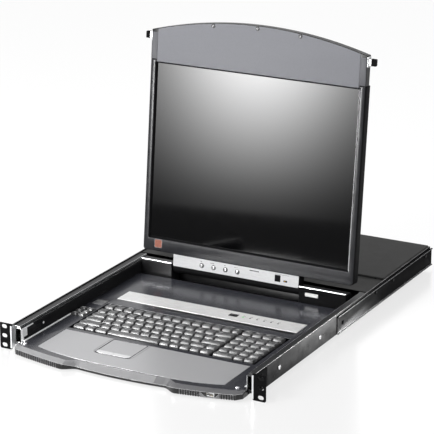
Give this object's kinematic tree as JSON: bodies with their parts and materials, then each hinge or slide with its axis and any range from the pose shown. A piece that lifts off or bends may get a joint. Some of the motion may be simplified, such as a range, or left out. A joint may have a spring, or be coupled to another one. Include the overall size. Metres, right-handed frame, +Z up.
{
  "type": "rack console drawer with kvm switch",
  "caption": "Rack mounted KVM switch drawer with a folding flat screen, keyboard and touchpad on ball slides before a rear switch housing.",
  "frame": {"origin": "middle of the box's underside, on the plane that the ears and the housing floor stand on", "axes": "+Z up, +Y from the front lip to the rear housing, +X to the right of a person at the keyboard"},
  "size_m": [0.4826, 0.7208, 0.469],
  "materials": {
    "black_metal": "satin black powder coat",
    "cover_metal": "fine textured dark grey powder coat",
    "zinc": "bright zinc plated sheet",
    "screw_steel": "bright nickel plated",
    "shaft_steel": "ground steel",
    "box_alloy": "plain sheet",
    "black_plastic": "fine satin black moulding",
    "deck_plastic": "satin dark grey moulding",
    "palm_grey": "metallic grey lacquer",
    "button_silver": "light silver lacquer",
    "strip_silver": "light silver overlay film",
    "key_plastic": "satin dark grey moulding",
    "bezel_grey": "satin dark grey moulding",
    "screen": "matt black filter over a dark panel",
    "board": "green solder mask",
    "trim_chrome": "bright trim"
  },
  "bodies": {
    "chassis": {"left_side_plate": "black_metal", "right_side_plate": "black_metal", "left_rack_ear": "black_metal", "right_rack_ear": "black_metal", "left_outer_slide": "zinc", "right_outer_slide": "zinc", "left_outer_rail": "black_metal", "right_outer_rail": "black_metal", "housing_pan": "black_metal", "housing_cover": "cover_metal", "rear_panel": "black_metal", "bay_plate": "cover_metal", "switch_board": "board", "power_supply": "box_alloy", "rear_sockets": "black_plastic", "power_inlet": "black_plastic", "case_screws": "screw_steel"},
    "rocker": {"power_rocker": "black_plastic"},
    "left_runner": {"left_middle_slide": "zinc"},
    "right_runner": {"right_middle_slide": "zinc"},
    "drawer": {"left_inner_slide": "zinc", "right_inner_slide": "zinc", "tray": "black_metal", "front_lip": "deck_plastic", "deck": "deck_plastic", "palm_rest": "palm_grey", "touchpad": "palm_grey", "keyboard_plate": "zinc", "status_strip": "strip_silver", "left_hinge_block": "black_plastic", "right_hinge_block": "black_plastic", "hinge_trims": "trim_chrome", "tray_posts": "screw_steel", "tray_board": "board", "usb_socket": "zinc"},
    "screen": {"hinge_shafts": "shaft_steel", "hinge_tongue": "black_plastic", "lcd_back": "black_plastic", "lcd_bezel": "bezel_grey", "lcd_panel": "screen", "lcd_board": "board", "arc_plate": "bezel_grey", "osd_strip": "strip_silver"},
    "touch_left": {"touch_button_left": "button_silver"},
    "touch_right": {"touch_button_right": "button_silver"},
    "function_row": {"function_keys": "key_plastic"},
    "number_row": {"number_keys": "key_plastic"},
    "upper_row": {"upper_keys": "key_plastic"},
    "home_row": {"home_keys": "key_plastic"},
    "lower_row": {"lower_keys": "key_plastic"},
    "space_row": {"space_keys": "key_plastic"},
    "side_row": {"side_keys": "key_plastic"},
    "block_push": {"block_button": "button_silver"},
    "osd_push_1": {"osd_button_1": "black_plastic"},
    "osd_push_2": {"osd_button_2": "black_plastic"},
    "osd_push_3": {"osd_button_3": "black_plastic"},
    "osd_push_4": {"osd_button_4": "black_plastic"},
    "left_latch": {"left_catch": "black_plastic"},
    "right_latch": {"right_catch": "black_plastic"}
  },
  "joints": [
    {"name": "drawer_slide", "type": "slide", "parent": "chassis", "child": "drawer", "axis": [0, -1, 0], "range_m": [0, 0.4]},
    {"name": "left_runner_slide", "type": "slide", "parent": "chassis", "child": "left_runner", "axis": [0, -1, 0], "range_m": [0, 0.2]},
    {"name": "right_runner_slide", "type": "slide", "parent": "chassis", "child": "right_runner", "axis": [0, -1, 0], "range_m": [0, 0.2]},
    {"name": "screen_hinge", "type": "hinge", "parent": "drawer", "child": "screen", "pos_m": [0, 0.07638, 0.03], "axis": [1, 0, 0], "range_deg": [-18, 96]},
    {"name": "power_switch", "type": "hinge", "parent": "chassis", "child": "rocker", "pos_m": [0.132, 0.35238, 0.02], "axis": [1, 0, 0], "range_deg": [0, 12]},
    {"name": "touch_left_press", "type": "slide", "parent": "drawer", "child": "touch_left", "axis": [0, 0, -1], "range_m": [0, 0.0015], "stiffness_N_per_m": 300},
    {"name": "touch_right_press", "type": "slide", "parent": "drawer", "child": "touch_right", "axis": [0, 0, -1], "range_m": [0, 0.0015], "stiffness_N_per_m": 300},
    {"name": "function_press", "type": "slide", "parent": "drawer", "child": "function_row", "axis": [0, 0, -1], "range_m": [0, 0.0025], "stiffness_N_per_m": 600},
    {"name": "number_press", "type": "slide", "parent": "drawer", "child": "number_row", "axis": [0, 0, -1], "range_m": [0, 0.0025], "stiffness_N_per_m": 600},
    {"name": "upper_press", "type": "slide", "parent": "drawer", "child": "upper_row", "axis": [0, 0, -1], "range_m": [0, 0.0025], "stiffness_N_per_m": 600},
    {"name": "home_press", "type": "slide", "parent": "drawer", "child": "home_row", "axis": [0, 0, -1], "range_m": [0, 0.0025], "stiffness_N_per_m": 600},
    {"name": "lower_press", "type": "slide", "parent": "drawer", "child": "lower_row", "axis": [0, 0, -1], "range_m": [0, 0.0025], "stiffness_N_per_m": 600},
    {"name": "space_press", "type": "slide", "parent": "drawer", "child": "space_row", "axis": [0, 0, -1], "range_m": [0, 0.0025], "stiffness_N_per_m": 600},
    {"name": "side_press", "type": "slide", "parent": "drawer", "child": "side_row", "axis": [0, 0, -1], "range_m": [0, 0.0025], "stiffness_N_per_m": 600},
    {"name": "block_press", "type": "slide", "parent": "drawer", "child": "block_push", "axis": [0, 1, 0], "range_m": [0, 0.0015], "stiffness_N_per_m": 300},
    {"name": "osd_press_1", "type": "slide", "parent": "screen", "child": "osd_push_1", "axis": [0, 0.9945, -0.1045], "range_m": [0, 0.001], "stiffness_N_per_m": 200},
    {"name": "osd_press_2", "type": "slide", "parent": "screen", "child": "osd_push_2", "axis": [0, 0.9945, -0.1045], "range_m": [0, 0.001], "stiffness_N_per_m": 200},
    {"name": "osd_press_3", "type": "slide", "parent": "screen", "child": "osd_push_3", "axis": [0, 0.9945, -0.1045], "range_m": [0, 0.001], "stiffness_N_per_m": 200},
    {"name": "osd_press_4", "type": "slide", "parent": "screen", "child": "osd_push_4", "axis": [0, 0.9945, -0.1045], "range_m": [0, 0.001], "stiffness_N_per_m": 200},
    {"name": "left_catch_squeeze", "type": "slide", "parent": "screen", "child": "left_latch", "axis": [1, 0, 0], "range_m": [0, 0.003], "stiffness_N_per_m": 500},
    {"name": "right_catch_squeeze", "type": "slide", "parent": "screen", "child": "right_latch", "axis": [-1, 0, 0], "range_m": [0, 0.003], "stiffness_N_per_m": 500}
  ],
  "couplings": [
    {"joint": "left_runner_slide", "follows": "drawer_slide", "ratio": 0.5},
    {"joint": "right_runner_slide", "follows": "drawer_slide", "ratio": 0.5}
  ]
}
